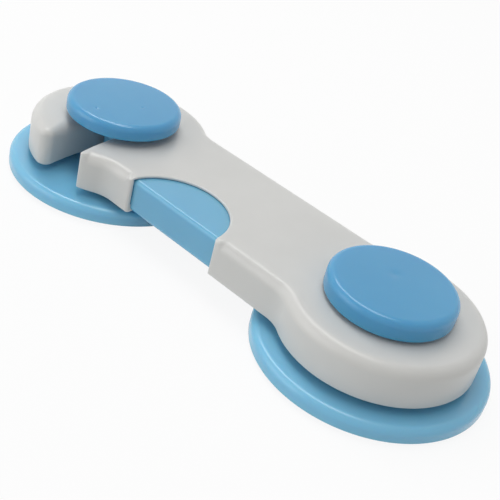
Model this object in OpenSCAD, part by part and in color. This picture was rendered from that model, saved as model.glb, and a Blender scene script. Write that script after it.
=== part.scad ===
// Cabinet safety lock. Two round bases are stuck down side by side. A hooked arm
// turns on the post of one base and catches the post of the other, and a slide
// bolt in the arm closes the mouth of the hook.
// X runs from the strike base to the pivot base, the mouth of the hook faces -Y,
// and Z is up from the face that is stuck down.

/* [Layout] */
// Distance between the two posts
post_span = 80; // [77:0.5:100]

/* [Bases] */
// Radius of each base disc
base_r = 25; // [22:0.5:32]
// Thickness of each base disc
base_t = 3.3; // [2.8:0.1:4.5]
// Rounding of the disc's upper rim
base_rim_r = 1.5; // [0.4:0.1:2]
// Radius of each foam tape disc
tape_r = 22; // [16:0.5:24]
// Thickness of the foam tape
tape_t = 1; // [0.6:0.1:1.6]
// Depth of the pocket that the tape sits in
tape_sink = 0.4; // [0.2:0.1:0.6]
// Thickness of the release paper
liner_t = 0.15; // [0.1:0.05:0.3]

/* [Posts] */
// Radius of the pivot post, which the arm turns on
pivot_r = 6; // [5:0.25:7]
// Radius of the strike post, which the hook catches
strike_r = 3.7; // [3.5:0.1:4.2]
// Radius of the shoulder that the arm's ring end rests on
pivot_hub_r = 9; // [7.5:0.5:12]
// Radius of the shoulder under the hook
strike_hub_r = 8; // [6:0.5:10]
// Radius of the tube inside each post
tube_r = 2.6; // [2.4:0.1:3]
// Thickness of the web that the post screw pulls on
web_t = 1.5; // [1:0.1:2]

/* [Caps] */
// Radius of both caps
cap_r = 13.4; // [11:0.1:18]
// Thickness of the pivot cap
pivot_cap_t = 4.4; // [2.8:0.1:6]
// Thickness of the strike cap
strike_cap_t = 3.7; // [2.8:0.1:6]
// Rounding of each cap's upper edge
cap_edge_r = 1.5; // [0.3:0.1:2]
// Room between the arm and the pivot cap
pivot_cap_gap = 0.6; // [0.3:0.1:2]
// Room between the hook and the strike cap
strike_cap_gap = 1.6; // [0.5:0.1:3]
// Length of the cap's stem inside the post
stem_len = 8; // [5:0.5:9]

/* [Arm] */
// Height of the arm's underside above the discs
arm_lift = 1.55; // [1:0.05:3]
// Height of the arm
arm_h = 8.7; // [8:0.1:12]
// Radius of both round ends of the arm
end_r = 20.9; // [19.5:0.1:24]
// Width of the straight middle of the arm
arm_w = 31.8; // [30:0.2:36]
// Radius of the hollow curve between middle and ends
neck_r = 12; // [6:0.5:20]
// Thickness of the arm's side walls
wall = 1.8; // [1.2:0.1:2.2]
// Thickness of the arm's roof over its hollows
roof_t = 1.6; // [1:0.1:2.5]
// Radius of the arm's boss around the pivot post
boss_r = 9; // [8:0.25:11]
// Thickness of the bottom plate
plate_t = 1.8; // [1.5:0.1:2.2]
// Width of the ledge that the plate seats on
ledge = 0.8; // [0.4:0.1:1.2]
// Rounding of the outer jaw's tip
jaw_tip_r = 2; // [0.5:0.25:3]
// How far the middle of the hook's slot lies inside the path of the strike post
slot_shift = 0.7; // [0:0.1:1]

/* [Slide bolt] */
// Distance from the strike post to the middle of the finger recess
recess_x = 34.7; // [33:0.1:36]
// Radius of the finger recess
recess_r = 12.6; // [10:0.2:13]
// Distance of the recess's centre outside the arm's near wall
recess_out = 1.3; // [0:0.1:3]
// How far the bolt reaches under the edge of the recess
recess_lap = 1.7; // [1:0.1:2.5]
// Travel of the bolt
bolt_travel = 6; // [5:0.25:7]
// Thickness of the arm's skin over the bolt
skin_t = 0.5; // [0.4:0.1:1.2]
// Rounding of the bolt's upper near edge
bolt_edge_r = 1.2; // [0.2:0.1:1.5]
// Step from the bolt's grip to its nose
nose_step = 0.4; // [0.2:0.1:1]
// Width of the bolt's tail
tail_w = 6; // [4:0.25:8]
// Length of the bolt's tail
tail_len = 9; // [7.5:0.25:10]
// Thickness of the rib beside the bolt
rib_t = 1.8; // [1.2:0.1:2.5]

/* [Screws] */
// Radius of the post screws
post_screw_r = 1.25; // [1:0.05:1.5]
// Length of the post screws under the head
post_screw_len = 9; // [7:0.5:10]
// Radius of the post screws' heads
post_head_r = 2.3; // [2:0.1:2.6]
// Height of the post screws' heads
post_head_h = 1.6; // [1:0.1:1.8]
// Radius of the plate screws
plate_screw_r = 0.9; // [0.7:0.05:1.1]
// Length of the plate screws under the head
plate_screw_len = 4.6; // [3:0.2:5]
// Radius of the plate screws' heads
plate_head_r = 1.7; // [1.5:0.1:2]
// Height of the plate screws' heads
plate_head_h = 0.9; // [0.6:0.1:1]
// Thickness of the wall around each plate screw
screw_wall = 1.6; // [1:0.1:2]
// Distance of the middle plate screws from the middle of the recess
screw_spread = 15; // [10:1:18]

/* [Clearances] */
// Running clearance of the arm on the pivot post
run_clear = 0.05; // [0.02:0.01:0.1]
// Least room between the strike post and the sides of the hook
slot_clear = 0.4; // [0.3:0.05:0.6]
// Room between the arm and the pivot shoulder
seat_gap = 0.2; // [0.1:0.05:0.4]
// Room between the hook and the strike shoulder
hook_gap = 0.3; // [0.2:0.05:0.5]
// Room beside the bolt
side_clear = 0.25; // [0.15:0.05:0.4]
// Room above and below the bolt
bolt_clear = 0.15; // [0.1:0.05:0.3]
// Room between the bolt's nose and the strike post
nose_gap = 0.9; // [0.6:0.1:1.5]
// Room around pieces that are assembled and then stay still
fit_clear = 0.1; // [0.05:0.05:0.2]

/* [Hidden] */
$fn = 120;
white_plastic = [0.86, 0.86, 0.85];
pad_blue = [0.45, 0.69, 0.80];
cap_blue = [0.38, 0.63, 0.79];
bolt_blue = [0.48, 0.69, 0.82];
steel = [0.72, 0.73, 0.74];
foam_grey = [0.80, 0.80, 0.78];
paper = [0.93, 0.91, 0.84];

// Facets of the small screw holes and screws
small_fn = 48;
// Cross recess of each screw: width and length in head radii, depth in head heights
cross_w = 0.33;
cross_len = 1.2;
cross_depth = 0.5;
// A cut runs past the faces that it opens by this much
past = 1;
// Curves that run smoothly into each other cross by this much
seam_lap = 0.05;
strike_x = -post_span / 2;
pivot_x = post_span / 2;

// Heights, from the stuck-down face up
base_z = liner_t + tape_t - tape_sink;
pocket_z = liner_t + tape_t;
disc_z = base_z + base_t;
arm_z = disc_z + arm_lift;
arm_top = arm_z + arm_h;
plate_top = arm_z + plate_t;
hollow_top = arm_top - roof_t;
pivot_cap_z = arm_top + pivot_cap_gap;
strike_cap_z = arm_top + strike_cap_gap;
head_seat_z = pocket_z + post_head_h + 2 * fit_clear;
web_top = head_seat_z + web_t;

// Outline of the arm: two round ends and a straight middle, joined by hollow curves
neck_y = arm_w / 2 + neck_r;
neck_dx = sqrt(pow(end_r + neck_r, 2) - pow(neck_y, 2));
neck_x = post_span / 2 - neck_dx;
neck_a = atan2(neck_y, neck_dx);

// The slot of the hook follows the path of the strike post round the pivot
slot_r = strike_r + slot_clear + slot_shift;
slot_in = post_span - slot_shift - slot_r;
slot_out = post_span - slot_shift + slot_r;

// Slide bolt, along X, behind the near wall
recess_cx = strike_x + recess_x;
recess_cy = -arm_w / 2 - recess_out;
grip_y0 = -arm_w / 2 + wall + side_clear;
grip_y1 = recess_cy + recess_r + recess_lap;
grip_x0 = recess_cx - recess_r - recess_lap;
grip_x1 = recess_cx + recess_r + bolt_travel + recess_lap;
grip_z0 = arm_z + fit_clear;
bolt_top = arm_top - skin_t - bolt_clear;
bolt_floor = plate_top + bolt_clear;
nose_y0 = grip_y0 + nose_step;
nose_y1 = -strike_r - nose_gap;
tail_y0 = (grip_y0 + grip_y1 - tail_w) / 2;
tail_x1 = grip_x1 + tail_len;
rib_y = grip_y1 + side_clear + rib_t;

// Plate screws: two in the middle, two at the ring end, one at the hook end
screw_wall_r = plate_screw_r + screw_wall;
ring_mid_r = (boss_r + end_r - wall) / 2;
hook_mid_r = (slot_r + end_r) / 2;
middle_y = (rib_y + arm_w / 2 - wall) / 2;
ring_a = 50;
hook_a = 115;
screw_places = [
    [recess_cx - screw_spread, middle_y],
    [recess_cx + screw_spread, middle_y],
    [pivot_x, 0] + ring_mid_r * [cos(ring_a), sin(ring_a)],
    [pivot_x, 0] + ring_mid_r * [cos(ring_a), -sin(ring_a)],
    [strike_x, 0] + hook_mid_r * [cos(hook_a), sin(hook_a)]
];
plate_seat_z = arm_z + plate_head_h + fit_clear;

// One of the four hollow curves between the middle and an end, at +X +Y
module neck_fill() {
    low = arm_w / 2 - wall;
    high = end_r * sin(neck_a);
    long = pivot_x - end_r * cos(neck_a) - neck_x + past;
    difference() {
        translate([neck_x, low]) square([long, high - low]);
        translate([neck_x, neck_y]) circle(neck_r - seam_lap);
    }
}

// The arm's outline in plan
module arm_plan() {
    for (x = [strike_x, pivot_x]) translate([x, 0]) circle(end_r);
    translate([strike_x, -arm_w / 2]) square([post_span, arm_w]);
    for (mx = [0, 1]) for (my = [0, 1]) mirror([mx, 0]) mirror([0, my]) neck_fill();
}

// A box from one corner to the other
module block(low, high) {
    translate(low) cube(high - low);
}

// The slot of the hook in plan, wider by grow on each side
module slot_plan(grow) {
    reach = end_r + past;
    translate([strike_x + slot_shift, 0]) circle(slot_r + grow);
    intersection() {
        translate([pivot_x, 0]) difference() {
            circle(slot_out + grow);
            circle(slot_in - grow);
        }
        translate([strike_x - reach, -reach]) square([2 * reach, reach]);
    }
}

// What is cut from the outer jaw to round its tip
module jaw_tip_plan() {
    centre_r = end_r - jaw_tip_r;
    centre_dx = (pow(centre_r, 2) - pow(slot_out + jaw_tip_r, 2) + pow(post_span, 2)) / (2 * post_span);
    centre = [strike_x + centre_dx, -sqrt(pow(centre_r, 2) - pow(centre_dx, 2))];
    out_dir = (centre - [strike_x, 0]) / norm(centre - [strike_x, 0]);
    slot_dir = ([pivot_x, 0] - centre) / norm([pivot_x, 0] - centre);
    reach = jaw_tip_r + past;
    corner = 2 * reach * (out_dir + slot_dir);
    difference() {
        polygon([centre, centre + reach * out_dir, centre + corner, centre + reach * slot_dir]);
        translate(centre) circle(jaw_tip_r + seam_lap);
    }
}

// The space inside the arm's walls in plan, drawn in by d
module inside_plan(d) {
    difference() {
        union() {
            for (x = [strike_x, pivot_x]) translate([x, 0]) circle(end_r - wall - d);
            translate([strike_x, -arm_w / 2 + wall + d]) square([post_span, arm_w - 2 * wall - 2 * d]);
        }
        translate([pivot_x, 0]) circle(boss_r + d);
        slot_plan(wall + d);
        translate([strike_x - end_r, -end_r]) square([end_r, end_r]);
    }
}

// The hollows above the plate: the space inside, less the bolt's bed and the screw bosses
module hollow_plan() {
    difference() {
        inside_plan(ledge);
        translate([strike_x, -end_r]) square([tail_x1 + side_clear + rib_t - strike_x, end_r + rib_y]);
        for (p = screw_places) translate(p) circle(screw_wall_r);
    }
}

// The room that the bolt's grip needs, with its travel
module grip_room(z0, z1) {
    block([grip_x0 - bolt_travel - side_clear, grip_y0 - side_clear, z0],
          [grip_x1 + side_clear, grip_y1 + side_clear, z1]);
}

// The rooms that the bolt slides in
module bolt_room() {
    top = bolt_top + bolt_clear;
    grip_room(arm_z - past, top);
    block([strike_x, nose_y0 - side_clear, plate_top],
          [grip_x0, nose_y1 + side_clear, top]);
    block([grip_x1, tail_y0 - side_clear, plate_top],
          [tail_x1 + side_clear, tail_y0 + tail_w + side_clear, top]);
}

// The finger recess, from top to bottom of the arm
module recess() {
    translate([recess_cx, recess_cy, arm_z - past]) cylinder(r = recess_r, h = arm_h + 2 * past);
}

// A square profile whose upper outer corner is rounded, from the axis to r
module rim_profile(r, z0, z1, edge) {
    difference() {
        translate([0, z0]) square([r, z1 - z0]);
        translate([r - edge, z1 - edge]) difference() {
            square(edge + past);
            circle(edge);
        }
    }
}

// A base: disc, shoulder and post in one, hollow for the tape, the screw and the cap's stem
module base(x, post_r, hub_r, hub_z, post_z) {
    translate([x, 0, 0]) rotate_extrude() difference() {
        union() {
            rim_profile(base_r, base_z, disc_z, base_rim_r);
            translate([0, base_z]) square([hub_r, hub_z - base_z]);
            translate([0, base_z]) square([post_r, post_z - base_z]);
        }
        translate([0, base_z - past]) square([tape_r + fit_clear, pocket_z - base_z + past]);
        translate([0, base_z]) square([post_head_r + fit_clear, head_seat_z - base_z]);
        translate([0, base_z]) square([post_screw_r + fit_clear, post_z]);
        translate([0, web_top]) square([tube_r, post_z]);
    }
}

// A cap with its stem, which takes the post screw
module cap(x, z, t) {
    stem_r = tube_r - fit_clear;
    translate([x, 0, 0]) rotate_extrude() difference() {
        union() {
            rim_profile(cap_r, z, z + t, cap_edge_r);
            translate([0, z - stem_len]) square([stem_r, stem_len + t / 2]);
        }
        translate([0, z - stem_len - past]) square([post_screw_r + run_clear, stem_len + past]);
    }
}

// A screw that points up, its head below its seat
module screw(seat_z, shank_r, len, head_r, head_h) {
    bit_w = head_r * cross_w;
    bit_len = head_r * cross_len;
    bit_depth = head_h * cross_depth;
    head_z = seat_z - head_h;
    difference() {
        union() {
            translate([0, 0, head_z]) cylinder(r = head_r, h = head_h, $fn = small_fn);
            translate([0, 0, seat_z]) cylinder(r = shank_r, h = len, $fn = small_fn);
        }
        for (a = [0, 90]) rotate(a)
            translate([-bit_len / 2, -bit_w / 2, head_z - past])
                cube([bit_len, bit_w, bit_depth + past]);
    }
}

module pivot_base() {
    color(pad_blue) base(pivot_x, pivot_r, pivot_hub_r, arm_z - seat_gap, pivot_cap_z);
}

module strike_base() {
    color(pad_blue) base(strike_x, strike_r, strike_hub_r, arm_z - hook_gap, strike_cap_z);
}

module pivot_cap() {
    color(cap_blue) cap(pivot_x, pivot_cap_z, pivot_cap_t);
}

module strike_cap() {
    color(cap_blue) cap(strike_x, strike_cap_z, strike_cap_t);
}

module post_screw(x) {
    color(steel) translate([x, 0, 0])
        screw(head_seat_z, post_screw_r, post_screw_len, post_head_r, post_head_h);
}

module pivot_screw() {
    post_screw(pivot_x);
}

module strike_screw() {
    post_screw(strike_x);
}

module adhesive(x) {
    color(foam_grey) translate([x, 0, liner_t]) cylinder(r = tape_r, h = tape_t);
}

module pivot_adhesive() {
    adhesive(pivot_x);
}

module strike_adhesive() {
    adhesive(strike_x);
}

module liner(x) {
    color(paper) translate([x, 0, 0]) cylinder(r = tape_r, h = liner_t);
}

module pivot_liner() {
    liner(pivot_x);
}

module strike_liner() {
    liner(strike_x);
}

// White shell of the arm: hook, ring end, finger recess and the bed of the bolt
module arm_cover() {
    color(white_plastic) difference() {
        translate([0, 0, arm_z]) linear_extrude(arm_h) arm_plan();
        translate([pivot_x, 0, arm_z - past]) cylinder(r = pivot_r + run_clear, h = arm_h + 2 * past);
        translate([0, 0, arm_z - past]) linear_extrude(arm_h + 2 * past) {
            slot_plan(0);
            jaw_tip_plan();
        }
        translate([0, 0, arm_z - past]) linear_extrude(plate_t + past) inside_plan(0);
        translate([0, 0, plate_top]) linear_extrude(hollow_top - plate_top) hollow_plan();
        for (p = screw_places) translate([p[0], p[1], plate_top])
            cylinder(r = plate_screw_r + run_clear, h = hollow_top - plate_top, $fn = small_fn);
        bolt_room();
        recess();
    }
}

// White plate that closes the arm from below and carries the bolt's nose and tail
module arm_bottom_plate() {
    color(white_plastic) difference() {
        translate([0, 0, arm_z]) linear_extrude(plate_t) inside_plan(fit_clear);
        grip_room(arm_z - past, plate_top + past);
        for (p = screw_places) translate([p[0], p[1], 0]) {
            translate([0, 0, arm_z - past])
                cylinder(r = plate_head_r + fit_clear, h = plate_seat_z - arm_z + past, $fn = small_fn);
            translate([0, 0, arm_z])
                cylinder(r = plate_screw_r + fit_clear, h = plate_t + past, $fn = small_fn);
        }
    }
}

module plate_screws() {
    color(steel) for (p = screw_places) translate([p[0], p[1], 0])
        screw(plate_seat_z, plate_screw_r, plate_screw_len, plate_head_r, plate_head_h);
}

// Blue slide bolt: a grip in the recess, a nose towards the mouth and a tail behind
module latch_bolt() {
    color(bolt_blue) {
        translate([grip_x0, 0, 0]) rotate([90, 0, 90]) linear_extrude(grip_x1 - grip_x0) difference() {
            translate([grip_y0, grip_z0]) square([grip_y1 - grip_y0, bolt_top - grip_z0]);
            translate([grip_y0 + bolt_edge_r, bolt_top - bolt_edge_r]) difference() {
                translate([-bolt_edge_r - past, 0]) square(bolt_edge_r + past);
                circle(bolt_edge_r);
            }
        }
        intersection() {
            block([strike_x, nose_y0, bolt_floor], [grip_x0, nose_y1, bolt_top]);
            translate([pivot_x, 0, bolt_floor - past])
                cylinder(r = slot_in - fit_clear, h = bolt_top - bolt_floor + 2 * past);
        }
        block([grip_x1, tail_y0, bolt_floor], [tail_x1, tail_y0 + tail_w, bolt_top]);
    }
}

pivot_base();
pivot_cap();
pivot_screw();
pivot_adhesive();
pivot_liner();
strike_base();
strike_cap();
strike_screw();
strike_adhesive();
strike_liner();
arm_cover();
arm_bottom_plate();
plate_screws();
latch_bolt();
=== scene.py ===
import bpy
import bmesh
import numpy as np
from mathutils import Matrix, Vector
from mathutils.geometry import delaunay_2d_cdt


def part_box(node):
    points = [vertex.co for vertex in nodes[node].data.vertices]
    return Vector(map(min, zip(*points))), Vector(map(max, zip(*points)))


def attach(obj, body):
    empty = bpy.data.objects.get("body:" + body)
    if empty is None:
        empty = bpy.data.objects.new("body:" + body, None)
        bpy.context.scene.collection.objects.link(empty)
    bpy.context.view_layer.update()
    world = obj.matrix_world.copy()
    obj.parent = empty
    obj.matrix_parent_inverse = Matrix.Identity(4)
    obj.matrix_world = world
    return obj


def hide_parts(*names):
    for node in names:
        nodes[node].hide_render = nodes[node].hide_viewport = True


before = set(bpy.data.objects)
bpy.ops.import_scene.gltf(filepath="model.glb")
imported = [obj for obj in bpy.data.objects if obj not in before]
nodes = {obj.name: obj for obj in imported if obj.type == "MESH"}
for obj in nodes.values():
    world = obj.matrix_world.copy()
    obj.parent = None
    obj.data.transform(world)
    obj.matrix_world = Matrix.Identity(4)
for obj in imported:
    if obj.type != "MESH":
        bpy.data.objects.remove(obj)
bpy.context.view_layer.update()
mm = 0.001
print("frame loaded:", len(nodes), "nodes")


# lengths here and in the pieces are millimetres, angles are degrees
meshLook = {"flatGap": 0.12, "flatLeast": 0.6, "weld": 0.002, "thin": 0.001, "sharpAngle": 40}


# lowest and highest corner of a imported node, in millimetres
def boxMm(node):
    low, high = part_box(node)
    return np.array(low) / mm, np.array(high) / mm


# 0 to 1 with level ends: 3t^2 - 2t^3
def ease(t):
    t = np.clip(t, 0.0, 1.0)
    return t * t * (3.0 - 2.0 * t)


# each inner corner of a path becomes an arc tangent to both of its sides;
# the arc turns from the first tangent point to the second about its centre
def roundCorners(corners, radii, steps=8, closed=True):
    corners = np.asarray(corners, float)
    before, after = np.roll(corners, 1, 0), np.roll(corners, -1, 0)
    mid = corners
    if not closed:
        before, mid, after = corners[:-2], corners[1:-1], corners[2:]
    radii = np.asarray(radii, float)[:, None]
    toBefore = (before - mid) / np.linalg.norm(before - mid, axis=1, keepdims=True)
    toAfter = (after - mid) / np.linalg.norm(after - mid, axis=1, keepdims=True)
    half = np.arccos(np.clip((toBefore * toAfter).sum(1, keepdims=True), -1, 1)) / 2
    bisector = toBefore + toAfter
    bisector /= np.linalg.norm(bisector, axis=1, keepdims=True)
    centre = mid + bisector * radii / np.sin(half)
    start = mid + toBefore * radii / np.tan(half) - centre
    end = mid + toAfter * radii / np.tan(half) - centre
    sweep = (np.pi - 2 * half)[:, None]
    u = np.linspace(0, 1, steps)[None, :, None]
    turn = np.sin((1 - u) * sweep) * start[:, None] + np.sin(u * sweep) * end[:, None]
    path = (centre[:, None] + turn / np.sin(sweep)).reshape(-1, 2)
    return path if closed else np.vstack([corners[:1], path, corners[-1:]])


# extra points close to both ends of each long side keep the flats flat in shading
def holdFlats(path, closed=True):
    gap = meshLook["flatGap"]
    after = np.roll(path, -1, 0)
    side = after - path
    length = np.linalg.norm(side, axis=1, keepdims=True)
    unit = side / np.maximum(length, 1e-9)
    rows = np.stack([path, path + unit * gap, after - unit * gap], 1)
    keep = np.repeat(length > meshLook["flatLeast"], 3, 1)
    keep[:, 0] = True
    if not closed:
        keep[-1, 1:] = False
    return rows[keep]


# quads between neighbouring rows of a grid of points
def gridQuads(rows, cols, closeRows, closeCols):
    r, c = np.meshgrid(np.arange(rows if closeRows else rows - 1),
                       np.arange(cols if closeCols else cols - 1), indexing="ij")
    r, c = r.ravel(), c.ravel()
    r2, c2 = (r + 1) % rows, (c + 1) % cols
    return np.column_stack([r * cols + c, r * cols + c2, r2 * cols + c2, r2 * cols + c])


# points in millimetres and their faces become one closed, smooth-shaded object
def putPiece(name, points, quads, tris=None, fillFlat=False):
    tris = np.zeros((0, 3), int) if tris is None else np.asarray(tris)
    quads = np.asarray(quads)
    mesh = bpy.data.meshes.new(name)
    mesh.vertices.add(len(points))
    mesh.vertices.foreach_set("co", (np.asarray(points) * mm).astype(np.float32).ravel())
    loops = np.concatenate([quads.ravel(), tris.ravel()]).astype(np.int32)
    starts = np.concatenate([np.arange(len(quads)) * 4, quads.size + np.arange(len(tris)) * 3])
    mesh.loops.add(len(loops))
    mesh.loops.foreach_set("vertex_index", loops)
    mesh.polygons.add(len(starts))
    mesh.polygons.foreach_set("loop_start", starts.astype(np.int32))
    mesh.update(calc_edges=True)
    mesh.validate()
    bm = bmesh.new()
    bm.from_mesh(mesh)
    bmesh.ops.remove_doubles(bm, verts=bm.verts[:], dist=meshLook["weld"] * mm)
    bmesh.ops.dissolve_degenerate(bm, dist=meshLook["thin"] * mm, edges=bm.edges[:])
    if fillFlat:
        rim = [e for e in bm.edges if e.is_boundary]
        bmesh.ops.triangle_fill(bm, edges=rim, use_beauty=True)
    bmesh.ops.recalc_face_normals(bm, faces=bm.faces[:])
    openEdges = sum(not e.is_manifold for e in bm.edges)
    bm.to_mesh(mesh)
    bm.free()
    mesh.polygons.foreach_set("use_smooth", np.ones(len(mesh.polygons), bool))
    mesh.set_sharp_from_angle(angle=np.radians(meshLook["sharpAngle"]))
    piece = bpy.data.objects.new(name, mesh)
    bpy.context.scene.collection.objects.link(piece)
    print("piece", name, len(mesh.polygons), "faces,", openEdges, "open edges")
    return piece


# a profile of radius and height turned about an upright axis
def turnProfile(profile, centreX, count):
    angle = np.linspace(0, 2 * np.pi, count, endpoint=False)
    radius, height = profile[:, :1], profile[:, 1:]
    return np.stack([centreX + radius * np.cos(angle), radius * np.sin(angle),
                     height + 0 * angle], 2)


# Bases: disc, shoulder and post turned in one, hollow below for tape and screw
baseLook = {
    "rim": 1.5, "foot": 0.25, "hubFoot": 0.4, "hubEdge": 0.35,
    "postFoot": 0.2, "postEdge": 0.4, "tubeEdge": 0.3, "bore": 0.08, "turnSteps": 220,
    "tapeR": 22.1, "headR": 2.4, "shankR": 1.35, "tubeR": 2.6,
    "tapeTop": 1.15, "seat": 2.95, "web": 4.45, "discTop": 4.05,
}
# shoulder and post of each base, and the gap from the shoulder up to the arm
pivotPost = {"hubR": 9.0, "hubGap": 0.2, "postR": 6.0}
strikePost = {"hubR": 8.0, "hubGap": 0.3, "postR": 3.7}
armLow, armHigh = boxMm("arm_cover")


def buildBase(name, node, post):
    look = baseLook
    low, high = boxMm(node)
    hubR, hubTop, postR = post["hubR"], armLow[2] - post["hubGap"], post["postR"]
    centreX, outR = (low[0] + high[0]) / 2, (high[0] - low[0]) / 2
    top = look["discTop"]
    corners = [
        (outR, low[2]), (outR, top), (hubR, top),
        (hubR, hubTop), (postR, hubTop), (postR, high[2]), (look["tubeR"], high[2]),
        (look["tubeR"], look["web"]), (look["shankR"], look["web"]), (look["shankR"], look["seat"]),
        (look["headR"], look["seat"]), (look["headR"], look["tapeTop"]), (look["tapeR"], look["tapeTop"]),
        (look["tapeR"], low[2]),
    ]
    radii = [look["foot"], look["rim"], look["hubFoot"], look["hubEdge"], look["postFoot"], look["postEdge"],
             look["tubeEdge"]]
    radii += [look["bore"]] * (len(corners) - len(radii))
    profile = holdFlats(roundCorners(corners, radii))
    points = turnProfile(profile, centreX, look["turnSteps"])
    quads = gridQuads(len(profile), look["turnSteps"], True, True)
    piece = putPiece(name, points.reshape(-1, 3), quads)
    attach(piece, "base")
    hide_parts(node)
    return piece


pivotBase = buildBase("pivotBase", "pivot_base", pivotPost)
strikeBase = buildBase("strikeBase", "strike_base", strikePost)

# Caps: shallow dome, rounded rim, stem with a pilot hole; a moulding gate is a small dent
capLook = {
    "edge": 1.5, "dome": 0.15, "foot": 0.5, "stemR": 2.5, "pilotR": 1.3, "stemEdge": 0.2, "pilotEdge": 0.1,
    "lead": 0.4, "edgeSteps": 10, "rings": 110, "turnSteps": 240,
    # dents: x, y, depth, spread
    "pivotDents": [(38.45, 1.95, 0.12, 1.3)],
    "strikeDents": [(-39.6, -8.9, 0.2, 0.35), (-35.6, 1.5, 0.2, 0.35)],
}


# the top falls by dome * (r / R)^2 from the middle to the rim's arc, and each dent
# lowers it by depth * exp(-(distance / spread)^2)
def buildCap(name, node, underZ, dents):
    look = capLook
    low, high = boxMm(node)
    centreX, outR, top = (low[0] + high[0]) / 2, (high[0] - low[0]) / 2, high[2]
    flatR = outR - look["edge"]
    rise = np.linspace(0, 1, look["rings"])[:, None] * [flatR, 0] + [0, top]
    rise[:, 1] -= look["dome"] * (rise[:, 0] / flatR) ** 2
    shoulder = top - look["dome"]
    corners = [(flatR - look["lead"], shoulder), (outR, shoulder), (outR, underZ), (look["stemR"], underZ),
               (look["stemR"], low[2]), (look["pilotR"], low[2]), (look["pilotR"], underZ), (0, underZ)]
    radii = [look["edge"], look["foot"]] + [look["stemEdge"]] * 2 + [look["pilotEdge"]] * 2
    rest = holdFlats(roundCorners(corners, radii, look["edgeSteps"], closed=False), closed=False)
    profile = np.vstack([rise, rest[2:]])
    points = turnProfile(profile, centreX, look["turnSteps"])
    onTop = points[:look["rings"]]
    for dentX, dentY, depth, spread in dents:
        far = np.hypot(onTop[..., 0] - dentX, onTop[..., 1] - dentY)
        onTop[..., 2] -= depth * np.exp(-(far / spread) ** 2)
    quads = gridQuads(len(profile), look["turnSteps"], False, True)
    piece = putPiece(name, points.reshape(-1, 3), quads)
    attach(piece, "base")
    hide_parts(node)
    return piece


pivotCap = buildCap("pivotCap", "pivot_cap", boxMm("pivot_base")[1][2], capLook["pivotDents"])
strikeCap = buildCap("strikeCap", "strike_cap", boxMm("strike_base")[1][2], capLook["strikeDents"])

# Arm: the outline is a closed path, and the section of the wall is carried along it
armLook = {
    "middleW": 31.8, "neckR": 8.0, "slotR": 4.8, "slotShift": 0.7, "tipR": 2.0, "jawCorner": 0.6,
    "recessX": -5.65, "recessY": -16.4, "recessR": 12.75, "recessCorner": 0.7,
    # walls: the near one is thinner from the plate to nearTop, and under the roof
    "wall": 1.8, "nearWall": 0.8, "nearRoofWall": 1.6, "nearTop": 13.0, "plateTop": 7.4, "roofUnder": 13.8,
    "noseY": (-13.7, -4.35), "boreR": 6.05, "bossR": 9.0, "boreChamfer": 0.12,
    # upper edges: radii, how far the crisp ones take to soften, and growth per length of path
    "softEdge": 2.4, "slotEdge": 2.4, "tipEdge": 1.6, "crispEdge": 0.3, "softRun": 1.6,
    "slotGrowth": 0.3, "tipGrowth": 0.2, "dropEdge": 1.3, "dropReach": 4.5,
    "footEdge": 0.2, "footRun": 1.5,
    # mesh: spacing along the path and over the top, and the least gap between rows of the wall
    "step": 0.4, "edgeSteps": 10, "boreSteps": 120, "topSpacing": 1.3, "topRowShare": 0.87, "rowGap": 0.05,
    "touch": 0.001,
}


# points on a circle from one angle to the other in degrees, the last one left out
def arcPath(centre, radius, start, end, step):
    count = max(2, int(np.ceil(abs(np.radians(end - start)) * radius / step)))
    angle = np.radians(start + (end - start) * np.arange(count) / count)
    return np.column_stack([centre[0] + radius * np.cos(angle), centre[1] + radius * np.sin(angle)])


# points on a straight line, the last one left out
def linePath(start, end, step):
    start, end = np.array(start, float), np.array(end, float)
    count = max(2, int(np.ceil(np.linalg.norm(end - start) / step)))
    return start + (end - start) * (np.arange(count) / count)[:, None]


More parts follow.
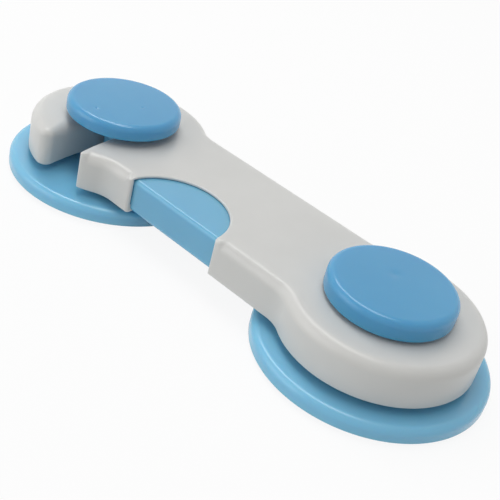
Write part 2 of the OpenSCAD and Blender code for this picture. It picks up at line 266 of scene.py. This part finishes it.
# the arm seen from above, anticlockwise: ring end, far side, hook, slot, near side with the recess.
# Also the part that each point belongs to
def armOutline(pivotX, strikeX, endR):
    look = armLook
    half, step = look["middleW"] / 2, look["step"]
    neckR, slotR, tipR = look["neckR"], look["slotR"], look["tipR"]
    span = pivotX - strikeX
    neckY = half + neckR
    neckDx = np.sqrt((endR + neckR) ** 2 - neckY ** 2)
    neckX = pivotX - neckDx
    neckA = np.degrees(np.arctan2(neckY, neckDx))
    slotIn, slotOut = span - look["slotShift"] - slotR, span - look["slotShift"] + slotR
    pivot, strike, slotMid = (pivotX, 0), (strikeX, 0), (strikeX + look["slotShift"], 0)
    # the outer jaw's tip touches the round end and the slot's outer wall
    tipDx = ((endR - tipR) ** 2 - (slotOut + tipR) ** 2 + span ** 2) / (2 * span)
    tip = (strikeX + tipDx, -np.sqrt((endR - tipR) ** 2 - tipDx ** 2))
    tipOutA = np.degrees(np.arctan2(tip[1], tipDx)) + 360
    tipSlotA = np.degrees(np.arctan2(-tip[1], pivotX - tip[0])) + 360
    tipSwing = np.degrees(np.arcsin(-tip[1] / np.hypot(pivotX - tip[0], tip[1])))
    # the inner jaw's corner is a small arc that touches the slot's inner wall and the round end
    jawR = look["jawCorner"]
    jawDx = ((endR - jawR) ** 2 - (slotIn - jawR) ** 2 + span ** 2) / (2 * span)
    jaw = (strikeX + jawDx, -np.sqrt((endR - jawR) ** 2 - jawDx ** 2))
    jawA = np.degrees(np.arctan2(-jaw[1], jawDx))
    jawSwing = np.degrees(np.arctan2(-jaw[1], pivotX - jaw[0]))
    recess, recessR = (look["recessX"], look["recessY"]), look["recessR"]
    # the recess's two upright corners are rounded: small arcs tangent to the near side and the recess
    cornerR = look["recessCorner"]
    cornerY = -half + cornerR
    cornerDx = np.sqrt((recessR + cornerR) ** 2 - (cornerY - recess[1]) ** 2)
    cornerA = np.degrees(np.arctan2(cornerY - recess[1], cornerDx))
    cornerLeft, cornerRight = (recess[0] - cornerDx, cornerY), (recess[0] + cornerDx, cornerY)
    skinA = np.degrees(np.arcsin((-half + look["nearWall"] - recess[1]) / recessR))
    parts = [
        ("ringEnd", arcPath(pivot, endR, neckA - 180, 180 - neckA, step)),
        ("neck", arcPath((neckX, neckY), neckR, -neckA, -90, step)),
        ("side", linePath((neckX, half), (-neckX, half), step * 2)),
        ("neck", arcPath((-neckX, neckY), neckR, -90, neckA - 180, step)),
        ("hookEnd", arcPath(strike, endR, neckA, 180, step)),
        ("jaw", arcPath(strike, endR, 180, tipOutA, step)),
        ("jawTip", arcPath(tip, tipR, tipOutA, tipSlotA, step / 3)),
        ("slotOut", arcPath(pivot, slotOut, 180 + tipSwing, 180, step)),
        ("slotEnd", arcPath(slotMid, slotR, 180, 0, step / 2)),
        ("slotIn", arcPath(pivot, slotIn, 180, 180 + jawSwing, step)),
        ("jawCorner", arcPath(jaw, jawR, 180 + jawSwing, 360 - jawA, step / 4)),
        ("jawEnd", arcPath(strike, endR, -jawA, -neckA, step)),
        ("neck", arcPath((-neckX, -neckY), neckR, 180 - neckA, 90, step)),
        ("side", linePath((-neckX, -half), (cornerLeft[0], -half), step)),
        ("recessSide", arcPath(cornerLeft, cornerR, -90, -cornerA, step / 3)),
        ("recessSide", arcPath(recess, recessR, 180 - cornerA, 180 - skinA, step / 2)),
        ("recessSkin", arcPath(recess, recessR, 180 - skinA, skinA, step)),
        ("recessSide", arcPath(recess, recessR, skinA, cornerA, step / 2)),
        ("recessSide", arcPath(cornerRight, cornerR, 180 + cornerA, 270, step / 3)),
        ("side", linePath((cornerRight[0], -half), (neckX, -half), step)),
        ("neck", arcPath((neckX, -neckY), neckR, 90, neckA, step)),
    ]
    path = np.vstack([p for n, p in parts])
    part = np.concatenate([np.full(len(p), n, dtype="U12") for n, p in parts])
    return path, part


# inward normal at each point of a closed path, long enough at corners to keep both sides' distance
def inwardNormals(path):
    side = np.roll(path, -1, 0) - path
    side /= np.linalg.norm(side, axis=1, keepdims=True)
    normal = np.column_stack([-side[:, 1], side[:, 0]])
    last = np.roll(normal, 1, 0)
    return (normal + last) / (1 + (normal * last).sum(1, keepdims=True))


# the points of the recess's rim that have no wall under them
def onSkin(path, part):
    skinY = armLook["nearWall"] - armLook["middleW"] / 2
    return np.isin(part, ["recessSide", "recessSkin"]) & (path[:, 1] > skinY - armLook["touch"])


# the inner face of the wall for each point of the outline: round ends and straight sides drawn in
# by the wall, the near side by its own, the slot's walls drawn out by it, and the outer jaw closed off
# across its root
def armInside(path, part, pivotX, strikeX, endR, nearWall):
    look = armLook
    wall, inR = look["wall"], endR - look["wall"]
    straight = look["middleW"] / 2 - np.where(path[:, 1] < 0, nearWall, wall)
    pivot, strike = np.array([pivotX, 0]), np.array([strikeX, 0])
    inside = path.copy()
    centre = np.where(path[:, :1] > 0, pivot, strike)
    out = path - centre
    onRing = centre + out * inR / np.linalg.norm(out, axis=1, keepdims=True)
    onSide = np.column_stack([path[:, 0], np.sign(path[:, 1]) * straight])
    ends = np.isin(part, ["ringEnd", "hookEnd", "jawEnd", "neck"])
    useRing = np.abs(onRing[:, 1]) >= straight
    useRing |= np.isin(part, ["ringEnd", "hookEnd", "jawEnd"])
    inside[ends] = np.where(useRing[:, None], onRing, onSide)[ends]
    flat = np.isin(part, ["side", "recessSide"]) & ~onSkin(path, part)
    inside[flat] = onSide[flat]
    slotR, span, shift = look["slotR"], pivotX - strikeX, look["slotShift"]
    wallIn = span - shift - slotR - wall
    meetDx = (inR ** 2 - wallIn ** 2 + span ** 2) / (2 * span)
    meet = np.array([strikeX + meetDx, -np.sqrt(inR ** 2 - meetDx ** 2)])
    slotIn = part == "slotIn"
    inside[slotIn] = pivot + (path[slotIn] - pivot) * wallIn / (wallIn + wall)
    inside[slotIn & (inside[:, 1] < meet[1])] = meet
    inside[(part == "jawEnd") & (inside[:, 0] < meet[0])] = meet
    inside[part == "jawCorner"] = meet
    end = part == "slotEnd"
    slotMid = strike + [shift, 0]
    inside[end] = slotMid + (path[end] - slotMid) * (slotR + wall) / slotR
    jaw = np.isin(part, ["jaw", "jawTip", "slotOut"])
    share = np.arange(jaw.sum()) / jaw.sum()
    inside[jaw] = np.column_stack([strikeX - inR + share * (inR + shift - slotR - wall), 0 * share])
    return inside


# distance along a closed path from each point to the nearest marked one
def runFrom(path, marked):
    length = np.linalg.norm(np.roll(path, -1, 0) - path, axis=1)
    at = np.concatenate([[0], np.cumsum(length)[:-1]])
    far = np.abs(at[:, None] - at[None, marked])
    return np.minimum(far, length.sum() - far).min(1)


# even-odd test of points against a closed path
def insidePath(points, path):
    after = np.roll(path, -1, 0)
    x, y = points[:, :1], points[:, 1:]
    spans = (path[:, 1] > y) != (after[:, 1] > y)
    cut = path[:, 0] + (y - path[:, 1]) * (after[:, 0] - path[:, 0]) / (after[:, 1] - path[:, 1] + 1e-12)
    return (spans & (x < cut)).sum(1) % 2 == 1


def nearest(points, others):
    return np.sqrt(((points[:, None] - others[None]) ** 2).sum(2)).min(1)


# how far the top lies below its height where the recess cuts the near edge: a quarter circle of radius
# dropEdge by the distance from the near side
def edgeDrop(spots):
    look = armLook
    soft = look["dropEdge"]
    far = np.clip(spots[:, 1] + look["middleW"] / 2, 0, soft)
    beside = np.abs(spots[:, 0] - look["recessX"]) < look["recessR"] + look["dropReach"]
    return np.where(beside & (spots[:, 1] < 0), soft - np.sqrt(soft ** 2 - (soft - far) ** 2), 0)


# rows of the wall from foot to roof; the upper edge is a quarter circle, soft along the outside and on the
# outer jaw, crisp along the slot's end, its inner wall and the recess, and it grows from crisp to soft
# along the path
def buildArm():
    look = armLook
    endR, footZ, topZ = armHigh[1], armLow[2], armHigh[2]
    pivotX, strikeX = armHigh[0] - endR, armLow[0] + endR
    path, part = armOutline(pivotX, strikeX, endR)
    roofWall = np.where(part == "recessSide", look["nearWall"], look["nearRoofWall"])
    nearWalls = (look["wall"], look["nearWall"], roofWall)
    plain, thin, underRoof = (armInside(path, part, pivotX, strikeX, endR, w) for w in nearWalls)
    normal = inwardNormals(path)
    count = len(path)
    crisp = np.isin(part, ["slotEnd", "slotIn", "jawCorner", "recessSide", "recessSkin"])
    soften = ease(runFrom(path, crisp) / look["softRun"])
    edge = look["crispEdge"] + (look["softEdge"] - look["crispEdge"]) * soften
    edge = np.minimum(edge, look["slotEdge"] + look["slotGrowth"] * runFrom(path, part == "slotOut"))
    edge = np.minimum(edge, look["tipEdge"] + look["tipGrowth"] * runFrom(path, part == "jawTip"))
    foot = look["footEdge"] * ease(runFrom(path, onSkin(path, part)) / look["footRun"])
    roofZ = topZ - edgeDrop(path + normal * edge[:, None])
    turn = np.linspace(0, np.pi / 2, look["edgeSteps"])
    # upright rows at the foot, above its edge, at the plate, at nearTop and under the roof, then the edge's arc
    flatRows = [0 * foot + footZ, footZ + foot, 0 * foot + look["plateTop"],
                np.minimum(look["nearTop"], roofZ - edge - 2 * look["rowGap"]),
                np.minimum(look["roofUnder"], roofZ - edge - look["rowGap"])]
    shift = np.vstack([foot, np.zeros((len(flatRows) - 1, count)), edge * (1 - np.cos(turn))[:, None]])
    height = np.vstack([flatRows, roofZ - edge + edge * np.sin(turn)[:, None]])
    rows = len(shift)
    outerRows = np.concatenate([path[None] + normal[None] * shift[..., None], height[..., None]], 2)
    # inside, the near wall is thinner above the plate, where the bar's grip runs
    levels = np.array([footZ, look["plateTop"], look["plateTop"], look["nearTop"], look["roofUnder"]])
    innerRows = np.concatenate([np.stack([plain, plain, thin, thin, underRoof]),
                                np.broadcast_to(levels[:, None, None], (len(levels), count, 1))], 2)
    # the bore and its boss
    boreSteps = look["boreSteps"]
    boreR, bossR, chamfer, lip = look["boreR"], look["bossR"], look["boreChamfer"], look["crispEdge"]
    boreProfile = np.vstack([
        [(bossR, look["roofUnder"]), (bossR, footZ), (boreR + chamfer, footZ), (boreR, footZ + chamfer),
         (boreR, topZ - lip)],
        np.column_stack([boreR + lip * (1 - np.cos(turn[1:])), topZ - lip * (1 - np.sin(turn[1:]))])])
    boreRows = turnProfile(boreProfile, pivotX, boreSteps)
    # the top inside the two edges is filled with triangles over evenly spaced points
    rim, boreRim = outerRows[-1, :, :2], boreRows[-1, :, :2]
    gap = look["topSpacing"]
    gx, gy = np.meshgrid(np.arange(armLow[0], armHigh[0], gap),
                         np.arange(armLow[1], armHigh[1], gap * look["topRowShare"]))
    gx = gx + (np.arange(len(gx)) % 2)[:, None] * gap / 2
    spots = np.column_stack([gx.ravel(), gy.ravel()])
    spots = spots[insidePath(spots, rim)]
    spots = spots[np.hypot(spots[:, 0] - pivotX, spots[:, 1]) > boreProfile[-1, 0] + gap / 2]
    spots = spots[nearest(spots, rim) > gap / 2]
    flat = np.vstack([rim, boreRim, spots])
    ringEdges = [(i, (i + 1) % count) for i in range(count)]
    ringEdges += [(count + i, count + (i + 1) % boreSteps) for i in range(boreSteps)]
    filled = delaunay_2d_cdt([Vector(p) for p in flat], ringEdges, [], 1, 1e-6)
    tris = np.array(filled[2])
    inBore = ((tris >= count) & (tris < count + boreSteps)).all(1)
    tris = tris[~inBore]
    # one list of points: outer rows, inner rows, bore rows, top points
    innerAt, boreAt = rows * count, (rows + len(levels)) * count
    spotAt = boreAt + len(boreProfile) * boreSteps
    points = np.vstack([outerRows.reshape(-1, 3), innerRows.reshape(-1, 3), boreRows.reshape(-1, 3),
                        np.column_stack([spots, topZ - edgeDrop(spots)])])
    source = np.concatenate([(rows - 1) * count + np.arange(count),
                             boreAt + (len(boreProfile) - 1) * boreSteps + np.arange(boreSteps),
                             spotAt + np.arange(len(spots))])
    tris = source[tris]
    here, after = np.arange(count), (np.arange(count) + 1) % count

    def strip(first, second, mask):
        a, b = here[mask], after[mask]
        return np.column_stack([first + a, first + b, second + b, second + a])

    low = part != "recessSkin"
    window = (part == "slotIn") & (path[after, 1] < look["noseY"][1]) & (path[:, 1] > look["noseY"][0])
    middleWall = low & ~window
    every = np.ones(count, bool)
    # where each outer and each inner row starts in that list; in both, row 2 is at the plate, row 3 at
    # nearTop and row 4 under the roof
    o = [j * count for j in range(rows)]
    n = [innerAt + j * count for j in range(len(levels))]
    quads = [strip(o[0], o[1], low), strip(o[1], o[2], low), strip(n[0], n[1], low), strip(n[1], n[2], low),
             strip(n[0], o[0], low), strip(o[4], n[4], ~middleWall), strip(o[2], n[2], window)]
    quads += [strip(o[j], o[j + 1], every) for j in range(4, rows - 1)]
    ends = here[window != np.roll(window, 1)]
    for j in (2, 3):
        quads += [strip(o[j], o[j + 1], middleWall), strip(n[j], n[j + 1], middleWall),
                  np.column_stack([o[j] + ends, o[j + 1] + ends, n[j + 1] + ends, n[j] + ends])]
    quads.append(boreAt + gridQuads(len(boreProfile), boreSteps, False, True))
    piece = putPiece("armShell", points, np.vstack(quads), tris, fillFlat=True)
    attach(piece, "arm")
    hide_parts("arm_cover")
    return piece


armShell = buildArm()

# Slide bolt: rounded rectangles carried along X; nose, grip and tail follow each other
boltLook = {
    "gripX": (-19.6, 15.0), "noseY": (-13.45, -4.6), "tailY": (-11.375, -5.375), "floor": 7.55,
    "gripProud": 1.0, "topEdge": 1.0, "footEdge": 1.3, "edge": 0.25, "round": 0.15, "under": 0.2,
}


# one section: corners of a rectangle in Y and Z, rounded, drawn in by inset
def boltSection(x, ySpan, zSpan, radii, inset):
    y0, y1, z0, z1 = ySpan[0] + inset, ySpan[1] - inset, zSpan[0] + inset, zSpan[1] - inset
    flat = holdFlats(roundCorners([(y0, z0), (y1, z0), (y1, z1), (y0, z1)], radii))
    return np.column_stack([np.full(len(flat), float(x)), flat])


def buildBolt():
    look = boltLook
    low, high = boxMm("latch_bolt")
    rnd, edge = look["round"], look["edge"]
    gripY, gripZ = (low[1] - look["gripProud"], high[1]), (low[2], high[2])
    thinZ = (look["floor"], high[2] - look["under"])
    gripRadii, thinRadii = [look["footEdge"], edge, edge, look["topEdge"]], [edge] * 4
    x0, x1 = look["gripX"]
    pivotX = armHigh[0] - armHigh[1]
    noseR = np.hypot(pivotX - low[0], look["noseY"][1])
    sections = [
        boltSection(low[0], look["noseY"], thinZ, thinRadii, rnd),
        boltSection(low[0] + rnd, look["noseY"], thinZ, thinRadii, 0),
        boltSection(x0, look["noseY"], thinZ, thinRadii, 0),
        boltSection(x0, gripY, gripZ, gripRadii, rnd),
        boltSection(x0 + rnd, gripY, gripZ, gripRadii, 0),
        boltSection(x1 - rnd, gripY, gripZ, gripRadii, 0),
        boltSection(x1, gripY, gripZ, gripRadii, rnd),
        boltSection(x1, look["tailY"], thinZ, thinRadii, 0),
        boltSection(high[0] - rnd, look["tailY"], thinZ, thinRadii, 0),
        boltSection(high[0], look["tailY"], thinZ, thinRadii, rnd),
    ]
    points = np.stack(sections)
    # the nose's tip follows the slot's wall: a circle about the pivot
    tip = points[:2]
    tip[..., 0] += pivotX - low[0] - np.sqrt(noseR ** 2 - tip[..., 1] ** 2)
    quads = gridQuads(len(sections), points.shape[1], False, True)
    piece = putPiece("slideBolt", points.reshape(-1, 3), quads, fillFlat=True)
    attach(piece, "bolt")
    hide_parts("latch_bolt")
    return piece


slideBolt = buildBolt()


# Materials. Moulded plastic: cloudy tint and fine grain on object coordinates; relief is in metres
skinLook = {
    "cloud": 35.0, "cloudDetail": 3.0, "cloudRough": 0.55, "grain": 900.0, "grainDetail": 2.0,
    "noiseLow": 0.3, "noiseHigh": 0.7, "cloudShare": 0.9, "grainShare": 0.1,
    "relief": 0.000006, "reliefStrength": 0.25, "underSkin": 0.5,
}


def newGroup(name, inputs, outputs):
    group = bpy.data.node_groups.new(name, "ShaderNodeTree")
    for socket, kind in inputs:
        group.interface.new_socket(socket, in_out="INPUT", socket_type=kind)
    for socket, kind in outputs:
        group.interface.new_socket(socket, in_out="OUTPUT", socket_type=kind)
    return group, group.nodes.new("NodeGroupInput"), group.nodes.new("NodeGroupOutput")


def addNode(tree, kind, values=None, **settings):
    node = tree.nodes.new(kind)
    for key, value in settings.items():
        setattr(node, key, value)
    for key, value in (values or {}).items():
        node.inputs[key].default_value = value
    return node


def mathNode(tree, operation, first, second):
    node = addNode(tree, "ShaderNodeMath", operation=operation)
    for socket, value in zip(node.inputs, (first, second)):
        if isinstance(value, (int, float)):
            socket.default_value = value
        else:
            tree.links.new(value, socket)
    return node.outputs[0]


# colour goes from dark to light by slow noise, roughness mostly by the same noise, height is fine grain
def mouldedGroup():
    look = skinLook
    tree, put, out = newGroup(
        "mouldedSkin",
        [("Vector", "NodeSocketVector"), ("Dark", "NodeSocketColor"), ("Light", "NodeSocketColor"),
         ("Cloud Scale", "NodeSocketFloat"), ("Grain Scale", "NodeSocketFloat"),
         ("Rough Low", "NodeSocketFloat"), ("Rough High", "NodeSocketFloat")],
        [("Color", "NodeSocketColor"), ("Roughness", "NodeSocketFloat"), ("Height", "NodeSocketFloat")])
    link = tree.links.new
    noiseSpan = {"From Min": look["noiseLow"], "From Max": look["noiseHigh"]}
    cloud = addNode(tree, "ShaderNodeTexNoise",
                    {"Detail": look["cloudDetail"], "Roughness": look["cloudRough"]})
    link(put.outputs["Vector"], cloud.inputs["Vector"])
    link(put.outputs["Cloud Scale"], cloud.inputs["Scale"])
    spread = addNode(tree, "ShaderNodeMapRange", noiseSpan)
    link(cloud.outputs["Fac"], spread.inputs["Value"])
    tint = addNode(tree, "ShaderNodeMix", data_type="RGBA")
    link(spread.outputs["Result"], tint.inputs["Factor"])
    link(put.outputs["Dark"], tint.inputs[6])
    link(put.outputs["Light"], tint.inputs[7])
    grain = addNode(tree, "ShaderNodeTexNoise", {"Detail": look["grainDetail"]})
    link(put.outputs["Vector"], grain.inputs["Vector"])
    link(put.outputs["Grain Scale"], grain.inputs["Scale"])
    swing = addNode(tree, "ShaderNodeMapRange", noiseSpan)
    slow = mathNode(tree, "MULTIPLY", cloud.outputs["Fac"], look["cloudShare"])
    fine = mathNode(tree, "MULTIPLY", grain.outputs["Fac"], look["grainShare"])
    link(mathNode(tree, "ADD", slow, fine), swing.inputs["Value"])
    link(put.outputs["Rough Low"], swing.inputs["To Min"])
    link(put.outputs["Rough High"], swing.inputs["To Max"])
    link(tint.outputs[2], out.inputs["Color"])
    link(swing.outputs["Result"], out.inputs["Roughness"])
    link(grain.outputs["Fac"], out.inputs["Height"])
    return tree


moulded = mouldedGroup()


# a new material with its shader, bump and object coordinates
def newMaterial(name):
    material = bpy.data.materials.new(name)
    material.use_nodes = True
    tree = material.node_tree
    shader = tree.nodes["Principled BSDF"]
    coords = addNode(tree, "ShaderNodeTexCoord")
    bump = addNode(tree, "ShaderNodeBump")
    tree.links.new(bump.outputs["Normal"], shader.inputs["Normal"])
    return material, tree, shader, coords, bump


# a colour of 0 to 255 per channel as the linear values that sockets take
def srgb(red, green, blue):
    c = np.array([red, green, blue]) / 255
    lin = np.where(c <= 0.04045, c / 12.92, ((c + 0.055) / 1.055) ** 2.4)
    return (*lin.tolist(), 1.0)


# each plastic: two tones, range of roughness, and how far each colour spreads under the skin
armPlastic = {
    "dark": srgb(208, 208, 205), "light": srgb(215, 215, 212), "rough": (0.29, 0.36), "ior": 1.5,
    "spread": (1.0, 1.0, 1.0), "reach": 0.0015,
}
bluePlastic = {"rough": (0.22, 0.265), "ior": 1.56, "spread": (0.4, 0.9, 1.2), "reach": 0.004}
# the pads are the same blue plastic as the caps; their tones are set lighter to stand in for light that the arm
# keeps off them, which is painted light
padBlueWithPaintedLight = {**bluePlastic, "dark": srgb(119, 188, 222), "light": srgb(127, 193, 226)}
capPlastic = {**bluePlastic, "dark": srgb(68, 152, 198), "light": srgb(76, 158, 202)}
boltPlastic = {**bluePlastic, "dark": srgb(104, 174, 209), "light": srgb(112, 180, 213)}


def plastic(name, look):
    material, tree, shader, coords, bump = newMaterial(name)
    skin = addNode(tree, "ShaderNodeGroup", {
        "Dark": look["dark"], "Light": look["light"], "Cloud Scale": skinLook["cloud"],
        "Grain Scale": skinLook["grain"], "Rough Low": look["rough"][0], "Rough High": look["rough"][1],
    }, node_tree=moulded)
    link = tree.links.new
    link(coords.outputs["Object"], skin.inputs["Vector"])
    link(skin.outputs["Color"], shader.inputs["Base Color"])
    link(skin.outputs["Roughness"], shader.inputs["Roughness"])
    link(skin.outputs["Height"], bump.inputs["Height"])
    bump.inputs["Strength"].default_value = skinLook["reliefStrength"]
    bump.inputs["Distance"].default_value = skinLook["relief"]
    shader.inputs["IOR"].default_value = look["ior"]
    shader.inputs["Subsurface Weight"].default_value = skinLook["underSkin"]
    shader.inputs["Subsurface Radius"].default_value = look["spread"]
    shader.inputs["Subsurface Scale"].default_value = look["reach"]
    return material


paint = {
    "arm": plastic("whiteArmPlastic", armPlastic),
    "pad": plastic("padBluePaintedLight", padBlueWithPaintedLight),
    "cap": plastic("capBluePlastic", capPlastic),
    "bolt": plastic("boltBluePlastic", boltPlastic),
}

# Steel of the screws, foam of the tape and paper of its backing
steelLook = {
    "color": srgb(188, 190, 193), "rough": (0.24, 0.4), "stretch": (900.0, 900.0, 90.0),
    "scale": 3.0, "detail": 3.0, "relief": 0.00002,
}
foamLook = {
    "dark": srgb(196, 196, 190), "light": srgb(224, 224, 218), "scale": 2600.0, "rough": 0.9,
    "relief": 0.0001,
}
paperLook = {
    "dark": srgb(226, 222, 206), "light": srgb(242, 239, 228), "scale": 700.0, "detail": 4.0, "rough": 0.6,
    "relief": 0.00002,
}


# lines drawn out across the screw swing its roughness and make its relief
def steelMaterial():
    look = steelLook
    material, tree, shader, coords, bump = newMaterial("screwSteel")
    link = tree.links.new
    turn = addNode(tree, "ShaderNodeMapping", {"Scale": look["stretch"]})
    link(coords.outputs["Object"], turn.inputs["Vector"])
    lines = addNode(tree, "ShaderNodeTexNoise", {"Scale": look["scale"], "Detail": look["detail"]})
    link(turn.outputs["Vector"], lines.inputs["Vector"])
    swing = addNode(tree, "ShaderNodeMapRange", {"To Min": look["rough"][0], "To Max": look["rough"][1]})
    link(lines.outputs["Fac"], swing.inputs["Value"])
    link(swing.outputs["Result"], shader.inputs["Roughness"])
    link(lines.outputs["Fac"], bump.inputs["Height"])
    bump.inputs["Distance"].default_value = look["relief"]
    shader.inputs["Base Color"].default_value = look["color"]
    shader.inputs["Metallic"].default_value = 1.0
    return material


# two tones by one pattern, cells or fibre, with the same pattern as the relief
def twoTone(name, look, kind):
    material, tree, shader, coords, bump = newMaterial(name)
    link = tree.links.new
    if kind == "cells":
        pattern = addNode(tree, "ShaderNodeTexVoronoi", {"Scale": look["scale"]})
        value = pattern.outputs["Distance"]
    else:
        pattern = addNode(tree, "ShaderNodeTexNoise", {"Scale": look["scale"], "Detail": look["detail"]})
        value = pattern.outputs["Fac"]
    link(coords.outputs["Object"], pattern.inputs["Vector"])
    tint = addNode(tree, "ShaderNodeMix", data_type="RGBA")
    link(value, tint.inputs["Factor"])
    tint.inputs[6].default_value, tint.inputs[7].default_value = look["dark"], look["light"]
    link(tint.outputs[2], shader.inputs["Base Color"])
    link(value, bump.inputs["Height"])
    bump.inputs["Distance"].default_value = look["relief"]
    shader.inputs["Roughness"].default_value = look["rough"]
    return material


paint["steel"] = steelMaterial()
paint["foam"] = twoTone("foamTape", foamLook, "cells")
paint["paper"] = twoTone("backingPaper", paperLook, "fibre")


def coat(thing, material):
    thing.data.materials.clear()
    thing.data.materials.append(material)


for thing, key in ((armShell, "arm"), (pivotBase, "pad"), (strikeBase, "pad"), (pivotCap, "cap"),
                   (strikeCap, "cap"), (slideBolt, "bolt")):
    coat(thing, paint[key])
for node, key in (("arm_bottom_plate", "arm"), ("plate_screws", "steel"), ("pivot_screw", "steel"),
                  ("strike_screw", "steel"), ("pivot_adhesive", "foam"), ("strike_adhesive", "foam"),
                  ("pivot_liner", "paper"), ("strike_liner", "paper"), ("arm_cover", "arm"),
                  ("pivot_base", "pad"), ("strike_base", "pad"), ("pivot_cap", "cap"),
                  ("strike_cap", "cap"), ("latch_bolt", "bolt")):
    coat(nodes[node], paint[key])
print("materials set")

# Floor and white surroundings; seenWhite is the share of plain white that seen rays get from the floor
stageLook = {"size": 6.0, "color": srgb(240, 240, 240), "rough": 0.9, "seenWhite": 0.9}


# mask of the rays that see the surroundings: camera, glossy and transmission
def seenRays(tree):
    path = addNode(tree, "ShaderNodeLightPath")
    seen = mathNode(tree, "MAXIMUM", path.outputs["Is Camera Ray"], path.outputs["Is Glossy Ray"])
    return mathNode(tree, "MAXIMUM", seen, path.outputs["Is Transmission Ray"])


def buildFloor():
    half = stageLook["size"] / 2
    mesh = bpy.data.meshes.new("floor")
    corners = [(-half, -half, 0), (half, -half, 0), (half, half, 0), (-half, half, 0)]
    mesh.from_pydata(corners, [], [(0, 1, 2, 3)])
    floor = bpy.data.objects.new("floor", mesh)
    bpy.context.scene.collection.objects.link(floor)
    material = bpy.data.materials.new("paleFloor")
    material.use_nodes = True
    tree = material.node_tree
    shader = tree.nodes["Principled BSDF"]
    shader.inputs["Base Color"].default_value = stageLook["color"]
    shader.inputs["Roughness"].default_value = stageLook["rough"]
    shader.inputs["Specular IOR Level"].default_value = 0.0
    white = addNode(tree, "ShaderNodeEmission", {"Color": (1, 1, 1, 1), "Strength": 1.0})
    blend = addNode(tree, "ShaderNodeMixShader")
    tree.links.new(mathNode(tree, "MULTIPLY", seenRays(tree), stageLook["seenWhite"]), blend.inputs[0])
    tree.links.new(shader.outputs[0], blend.inputs[1])
    tree.links.new(white.outputs[0], blend.inputs[2])
    tree.links.new(blend.outputs[0], tree.nodes["Material Output"].inputs["Surface"])
    mesh.materials.append(material)


buildFloor()

# Lamps, in metres: a long strip for the thin lights on the rims and a soft card at the front left
lightLook = {
    "sky": 0.475, "aim": (0, 0, 0.01),
    "lamps": [
        # name, place, the two sizes, power in watts
        ("stripAbove", (-0.17, 0.06, 0.55), (0.16, 0.62), 1.55),
        ("cardFrontLeft", (-0.36, -0.50, 0.22), (0.5, 0.5), 1.0),
    ],
}


def buildLight():
    world = bpy.data.worlds.new("studio")
    bpy.context.scene.world = world
    world.use_nodes = True
    tree = world.node_tree
    sky = tree.nodes["Background"]
    sky.inputs["Color"].default_value = (1, 1, 1, 1)
    sky.inputs["Strength"].default_value = lightLook["sky"]
    white = addNode(tree, "ShaderNodeBackground", {"Color": (1, 1, 1, 1), "Strength": 1.0})
    blend = addNode(tree, "ShaderNodeMixShader")
    tree.links.new(seenRays(tree), blend.inputs[0])
    tree.links.new(sky.outputs[0], blend.inputs[1])
    tree.links.new(white.outputs[0], blend.inputs[2])
    tree.links.new(blend.outputs[0], tree.nodes["World Output"].inputs["Surface"])
    for name, spot, size, power in lightLook["lamps"]:
        lamp = bpy.data.lights.new(name, "AREA")
        lamp.shape = "RECTANGLE"
        lamp.size, lamp.size_y = size
        lamp.energy = power
        holder = bpy.data.objects.new(name, lamp)
        bpy.context.scene.collection.objects.link(holder)
        holder.location = spot
        aim = Vector(lightLook["aim"]) - Vector(spot)
        holder.rotation_euler = aim.to_track_quat("-Z", "Y").to_euler()


buildLight()
print("floor and lamps set")

# Camera at the photograph's angle: azimuth, elevation and roll in degrees, distance in metres
cameraLook = {
    "azimuth": 34.61, "elevation": 32.05, "roll": 15.31, "distance": 0.19926,
    "target": (0.00792, -0.00402, 0.008), "focalPixels": 937.7, "imagePixels": 500.0, "sensor": 36.0,
    "clipStart": 0.01,
}


def buildCamera():
    look = cameraLook
    az, el, roll = np.radians([look["azimuth"], look["elevation"], look["roll"]])
    back = np.array([np.sin(az) * np.cos(el), -np.cos(az) * np.cos(el), np.sin(el)])
    right = np.array([np.cos(az), np.sin(az), 0])
    up = np.cross(back, right)
    rolledRight = np.cos(roll) * right + np.sin(roll) * up
    rolledUp = np.cos(roll) * up - np.sin(roll) * right
    lens = bpy.data.cameras.new("photoCamera")
    lens.sensor_width = look["sensor"]
    lens.lens = look["focalPixels"] * look["sensor"] / look["imagePixels"]
    lens.clip_start = look["clipStart"]
    holder = bpy.data.objects.new("photoCamera", lens)
    bpy.context.scene.collection.objects.link(holder)
    place = np.array(look["target"]) + back * look["distance"]
    turn = np.eye(4)
    turn[:3, 0], turn[:3, 1], turn[:3, 2], turn[:3, 3] = rolledRight, rolledUp, back, place
    holder.matrix_world = Matrix(turn.tolist())
    bpy.context.scene.camera = holder


buildCamera()
bpy.context.scene.view_settings.view_transform = "Standard"
print("camera set")
